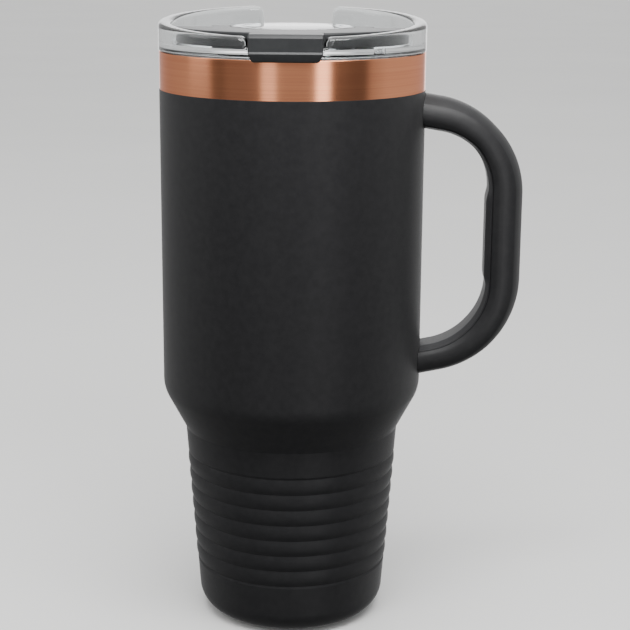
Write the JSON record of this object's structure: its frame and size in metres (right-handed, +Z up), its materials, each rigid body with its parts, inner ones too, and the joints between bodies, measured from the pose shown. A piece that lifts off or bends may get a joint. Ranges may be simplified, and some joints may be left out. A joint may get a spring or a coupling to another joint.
{
  "type": "insulated travel mug",
  "caption": "Double-walled steel travel mug with ribbed tapered foot, plated rim band, side handle and clear press-in lid with hinged flip flap.",
  "frame": {"origin": "centre of the flat base, on the surface the mug stands on", "axes": "+Z up along the mug's axis, +X towards the handle, -Y towards the drinking side of the lid"},
  "size_m": [0.1388, 0.1031, 0.2372],
  "materials": {
    "powder_coat": "fine matte powder coat",
    "copper_plate": "copper-coloured plating brushed round the rim",
    "bare_steel": "satin",
    "bright_steel": "polished",
    "seal_glass": "fused glass bead",
    "handle_plastic": "fine textured",
    "brass": "turned",
    "clear_lid": "clear gloss plastic",
    "silicone": "translucent silicone",
    "flap_plastic": "satin moulded"
  },
  "bodies": {
    "mug": {"outer_wall": "powder_coat", "rim_band": "copper_plate", "inner_wall": "bare_steel", "base_plate": "bare_steel", "bottom_cover": "bare_steel", "vacuum_seal": "seal_glass", "getter": "bare_steel", "getter_clip": "bare_steel", "handle_shell": "handle_plastic", "handle_inner_cover": "handle_plastic", "upper_bracket": "bare_steel", "lower_bracket": "bare_steel", "handle_inserts": "brass", "handle_screws": "bright_steel"},
    "lid": {"lid_body": "clear_lid", "lid_gasket": "silicone", "hub_cap": "clear_lid", "hinge_pins": "bright_steel"},
    "flap": {"flap": "flap_plastic", "spout_seal": "silicone", "vent_plug": "silicone"}
  },
  "joints": [
    {"name": "lid_lift", "type": "slide", "parent": "mug", "child": "lid", "axis": [0, 0, 1], "range_m": [0, 0.045]},
    {"name": "flap_hinge", "type": "hinge", "parent": "lid", "child": "flap", "pos_m": [0, 0, 0.2295], "axis": [-1, 0, 0], "range_deg": [0, 178]}
  ]
}
